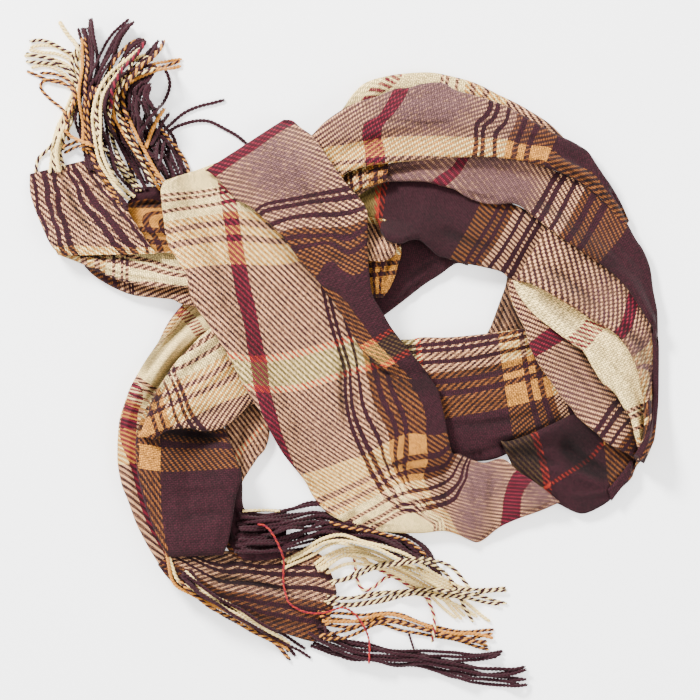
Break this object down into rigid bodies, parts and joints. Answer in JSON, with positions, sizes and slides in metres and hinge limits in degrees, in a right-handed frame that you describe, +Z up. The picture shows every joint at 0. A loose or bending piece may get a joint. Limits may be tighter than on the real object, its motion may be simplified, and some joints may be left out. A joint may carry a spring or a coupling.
{
  "type": "scarf",
  "caption": "Long plaid woven wool scarf with twisted fringe at both ends, lying loosely looped and knotted on a flat surface.",
  "frame": {"origin": "centre of the bounding box in plan, on the surface that the scarf lies on", "axes": "+Z up from the surface, +Y towards the upper fringe as seen from above, +X to the right, towards the twisted side of the loop"},
  "size_m": [0.3792, 0.3978, 0.0341],
  "materials": {
    "band_front_wool": "softly brushed two-and-two twill",
    "band_fold_wool": "softly brushed two-and-two twill",
    "band_middle_wool": "softly brushed two-and-two twill",
    "loop_crest_wool": "softly brushed two-and-two twill",
    "loop_top_wool": "softly brushed two-and-two twill",
    "loop_middle_wool": "softly brushed two-and-two twill",
    "loop_inner_wool": "softly brushed two-and-two twill",
    "loop_under_wool": "softly brushed two-and-two twill",
    "loop_tuck_wool": "softly brushed two-and-two twill",
    "crest_tuck_wool": "softly brushed two-and-two twill",
    "knot_marl_wool": "softly brushed two-and-two twill",
    "knot_tan_wool": "softly brushed two-and-two twill",
    "twist_front_wool": "softly brushed two-and-two twill",
    "twist_lens_wool": "softly brushed two-and-two twill",
    "twist_back_wool": "softly brushed two-and-two twill",
    "turn_inside_wool": "softly brushed two-and-two twill",
    "turn_rim_wool": "softly brushed two-and-two twill",
    "tail_lobe_wool": "softly brushed two-and-two twill",
    "tail_roll_wool": "softly brushed two-and-two twill",
    "tail_roll_under_wool": "softly brushed two-and-two twill",
    "tail_knob_wool": "softly brushed two-and-two twill",
    "tail_outer_wool": "softly brushed two-and-two twill",
    "tail_puff_wool": "softly brushed two-and-two twill",
    "tail_panel_wool": "softly brushed two-and-two twill",
    "tail_side_wool": "softly brushed two-and-two twill",
    "tail_layer_wool": "softly brushed two-and-two twill",
    "tail_end_wool": "softly brushed two-and-two twill",
    "fringe_upper_left_wool": "twisted two-ply yarn",
    "fringe_upper_back_wool": "twisted two-ply yarn",
    "fringe_upper_wool": "twisted two-ply yarn",
    "fringe_dark_wool": "twisted two-ply yarn",
    "fringe_lower_wool": "twisted two-ply yarn",
    "fringe_corner_wool": "twisted two-ply yarn"
  },
  "bodies": {
    "root": {"band_front": "band_front_wool", "band_fold": "band_fold_wool", "band_middle": "band_middle_wool", "loop_crest": "loop_crest_wool", "loop_top": "loop_top_wool", "loop_middle": "loop_middle_wool", "loop_inner": "loop_inner_wool", "loop_under": "loop_under_wool", "loop_tuck": "loop_tuck_wool", "crest_tuck": "crest_tuck_wool", "knot_marl": "knot_marl_wool", "knot_tan": "knot_tan_wool", "twist_front": "twist_front_wool", "twist_lens": "twist_lens_wool", "twist_back": "twist_back_wool", "turn_inside": "turn_inside_wool", "turn_rim": "turn_rim_wool", "tail_lobe": "tail_lobe_wool", "tail_roll": "tail_roll_wool", "tail_roll_under": "tail_roll_under_wool", "tail_knob": "tail_knob_wool", "tail_outer": "tail_outer_wool", "tail_puff": "tail_puff_wool", "tail_panel": "tail_panel_wool", "tail_side": "tail_side_wool", "tail_layer": "tail_layer_wool", "tail_end": "tail_end_wool", "fringe_upper_left": "fringe_upper_left_wool", "fringe_upper_back": "fringe_upper_back_wool", "fringe_upper": "fringe_upper_wool", "fringe_dark": "fringe_dark_wool", "fringe_lower": "fringe_lower_wool", "fringe_corner": "fringe_corner_wool"}
  },
  "joints": []
}
